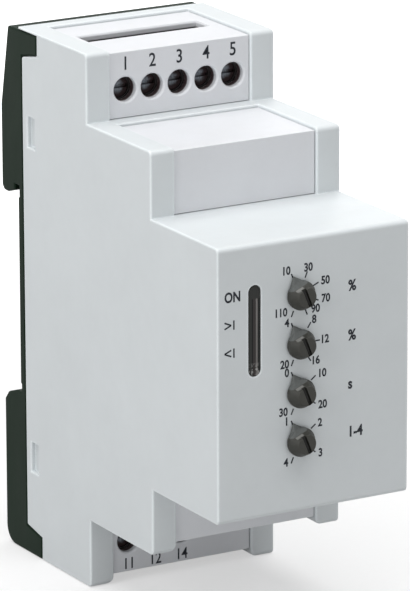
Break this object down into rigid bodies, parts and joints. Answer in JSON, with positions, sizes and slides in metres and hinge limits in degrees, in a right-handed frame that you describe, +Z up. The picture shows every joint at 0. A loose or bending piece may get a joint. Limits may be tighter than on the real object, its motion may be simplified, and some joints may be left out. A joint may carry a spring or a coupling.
{
  "type": "current relay",
  "caption": "Stepped rail-mounted relay that watches a current, with setting knobs, an indicator window, screw terminals at both ends and a sprung rail latch.",
  "frame": {"origin": "centre of the flat face that seats on the mounting rail", "axes": "+X across the width, to the right seen from the front; +Y out of the back, towards the rail; +Z up. The knobs face -Y."},
  "size_m": [0.035, 0.0736, 0.09],
  "materials": {
    "housing_grey": "satin",
    "insert_grey": "satin",
    "base_dark": "satin",
    "knob_grey": "satin",
    "window_dark": "gloss",
    "block_black": "matte",
    "steel": "satin",
    "contact_brass": "satin",
    "strip_copper": "satin",
    "board_green": "satin",
    "relay_blue": "satin",
    "adjuster_blue": "satin",
    "chip_black": "matte",
    "lamp_green": "gloss",
    "lamp_red": "gloss",
    "resistor_grey": "satin",
    "core_black": "matte",
    "winding_yellow": "satin",
    "can_dark": "satin",
    "absorber_blue": "satin"
  },
  "bodies": {
    "enclosure": {"housing": "housing_grey", "rear_base": "base_dark", "upper_terminal_cover": "insert_grey", "upper_blank_cover": "insert_grey", "lower_terminal_cover": "insert_grey", "lower_blank_cover": "insert_grey", "indicator_window": "window_dark", "latch_spring": "steel", "upper_terminal_block": "block_black", "lower_terminal_block": "block_black", "upper_contacts": "contact_brass", "lower_contacts": "contact_brass", "trimmer_threshold": "adjuster_blue", "trimmer_hysteresis": "adjuster_blue", "trimmer_delay": "adjuster_blue", "selector_switch": "chip_black", "lamp_supply": "lamp_green", "lamp_above": "lamp_red", "lamp_below": "lamp_red", "front_board": "board_green", "riser_board": "board_green", "main_board": "board_green", "output_relay": "relay_blue", "shunt_strip": "strip_copper", "measuring_resistor": "resistor_grey", "transformer_core": "core_black", "transformer_winding": "winding_yellow", "supply_capacitor": "can_dark", "smoothing_capacitor": "can_dark", "surge_absorber": "absorber_blue", "controller_chip": "chip_black", "isolator_chip": "chip_black"},
    "knob_threshold": {"knob_threshold": "knob_grey"},
    "knob_hysteresis": {"knob_hysteresis": "knob_grey"},
    "knob_delay": {"knob_delay": "knob_grey"},
    "knob_function": {"knob_function": "knob_grey"},
    "rail_latch": {"rail_latch": "base_dark"},
    "screw_upper_1": {"screw_upper_1": "steel"},
    "screw_upper_2": {"screw_upper_2": "steel"},
    "screw_upper_3": {"screw_upper_3": "steel"},
    "screw_upper_4": {"screw_upper_4": "steel"},
    "screw_upper_5": {"screw_upper_5": "steel"},
    "screw_lower_1": {"screw_lower_1": "steel"},
    "screw_lower_2": {"screw_lower_2": "steel"},
    "screw_lower_3": {"screw_lower_3": "steel"},
    "cage_upper_1": {"cage_upper_1": "steel"},
    "cage_upper_2": {"cage_upper_2": "steel"},
    "cage_upper_3": {"cage_upper_3": "steel"},
    "cage_upper_4": {"cage_upper_4": "steel"},
    "cage_upper_5": {"cage_upper_5": "steel"},
    "cage_lower_1": {"cage_lower_1": "steel"},
    "cage_lower_2": {"cage_lower_2": "steel"},
    "cage_lower_3": {"cage_lower_3": "steel"}
  },
  "joints": [
    {"name": "knob_threshold_turn", "type": "hinge", "parent": "enclosure", "child": "knob_threshold", "pos_m": [-0.0027, -0.0653, 0.0132], "axis": [0, 1, 0], "range_deg": [0, 225]},
    {"name": "knob_hysteresis_turn", "type": "hinge", "parent": "enclosure", "child": "knob_hysteresis", "pos_m": [-0.0027, -0.0653, 0.0052], "axis": [0, 1, 0], "range_deg": [0, 225]},
    {"name": "knob_delay_turn", "type": "hinge", "parent": "enclosure", "child": "knob_delay", "pos_m": [-0.0027, -0.0653, -0.0028], "axis": [0, 1, 0], "range_deg": [0, 225]},
    {"name": "knob_function_turn", "type": "hinge", "parent": "enclosure", "child": "knob_function", "pos_m": [-0.0027, -0.0653, -0.0108], "axis": [0, 1, 0], "range_deg": [0, 225]},
    {"name": "rail_latch_slide", "type": "slide", "parent": "enclosure", "child": "rail_latch", "axis": [0, 0, -1], "range_m": [0, 0.003], "stiffness_N_per_m": 500, "springref_m": -0.002, "deforming": ["latch_spring"]},
    {"name": "screw_upper_1_turn", "type": "hinge", "parent": "enclosure", "child": "screw_upper_1", "pos_m": [-0.01, -0.0193, 0.0382], "axis": [0, 1, 0], "range_deg": [0, 1921]},
    {"name": "cage_upper_1_lift", "type": "slide", "parent": "enclosure", "child": "cage_upper_1", "axis": [0, -1, 0], "range_m": [0, 0.0024]},
    {"name": "screw_upper_2_turn", "type": "hinge", "parent": "enclosure", "child": "screw_upper_2", "pos_m": [-0.005, -0.0193, 0.0382], "axis": [0, 1, 0], "range_deg": [0, 1921]},
    {"name": "cage_upper_2_lift", "type": "slide", "parent": "enclosure", "child": "cage_upper_2", "axis": [0, -1, 0], "range_m": [0, 0.0024]},
    {"name": "screw_upper_3_turn", "type": "hinge", "parent": "enclosure", "child": "screw_upper_3", "pos_m": [0, -0.0193, 0.0382], "axis": [0, 1, 0], "range_deg": [0, 1921]},
    {"name": "cage_upper_3_lift", "type": "slide", "parent": "enclosure", "child": "cage_upper_3", "axis": [0, -1, 0], "range_m": [0, 0.0024]},
    {"name": "screw_upper_4_turn", "type": "hinge", "parent": "enclosure", "child": "screw_upper_4", "pos_m": [0.005, -0.0193, 0.0382], "axis": [0, 1, 0], "range_deg": [0, 1921]},
    {"name": "cage_upper_4_lift", "type": "slide", "parent": "enclosure", "child": "cage_upper_4", "axis": [0, -1, 0], "range_m": [0, 0.0024]},
    {"name": "screw_upper_5_turn", "type": "hinge", "parent": "enclosure", "child": "screw_upper_5", "pos_m": [0.01, -0.0193, 0.0382], "axis": [0, 1, 0], "range_deg": [0, 1921]},
    {"name": "cage_upper_5_lift", "type": "slide", "parent": "enclosure", "child": "cage_upper_5", "axis": [0, -1, 0], "range_m": [0, 0.0024]},
    {"name": "screw_lower_1_turn", "type": "hinge", "parent": "enclosure", "child": "screw_lower_1", "pos_m": [-0.01, -0.0193, -0.0382], "axis": [0, 1, 0], "range_deg": [0, 1921]},
    {"name": "cage_lower_1_lift", "type": "slide", "parent": "enclosure", "child": "cage_lower_1", "axis": [0, -1, 0], "range_m": [0, 0.0024]},
    {"name": "screw_lower_2_turn", "type": "hinge", "parent": "enclosure", "child": "screw_lower_2", "pos_m": [-0.005, -0.0193, -0.0382], "axis": [0, 1, 0], "range_deg": [0, 1921]},
    {"name": "cage_lower_2_lift", "type": "slide", "parent": "enclosure", "child": "cage_lower_2", "axis": [0, -1, 0], "range_m": [0, 0.0024]},
    {"name": "screw_lower_3_turn", "type": "hinge", "parent": "enclosure", "child": "screw_lower_3", "pos_m": [0, -0.0193, -0.0382], "axis": [0, 1, 0], "range_deg": [0, 1921]},
    {"name": "cage_lower_3_lift", "type": "slide", "parent": "enclosure", "child": "cage_lower_3", "axis": [0, -1, 0], "range_m": [0, 0.0024]}
  ],
  "couplings": [
    {"joint": "screw_upper_1_turn", "follows": "cage_upper_1_lift", "rad_per_m": 13963},
    {"joint": "screw_upper_2_turn", "follows": "cage_upper_2_lift", "rad_per_m": 13963},
    {"joint": "screw_upper_3_turn", "follows": "cage_upper_3_lift", "rad_per_m": 13963},
    {"joint": "screw_upper_4_turn", "follows": "cage_upper_4_lift", "rad_per_m": 13963},
    {"joint": "screw_upper_5_turn", "follows": "cage_upper_5_lift", "rad_per_m": 13963},
    {"joint": "screw_lower_1_turn", "follows": "cage_lower_1_lift", "rad_per_m": 13963},
    {"joint": "screw_lower_2_turn", "follows": "cage_lower_2_lift", "rad_per_m": 13963},
    {"joint": "screw_lower_3_turn", "follows": "cage_lower_3_lift", "rad_per_m": 13963}
  ]
}
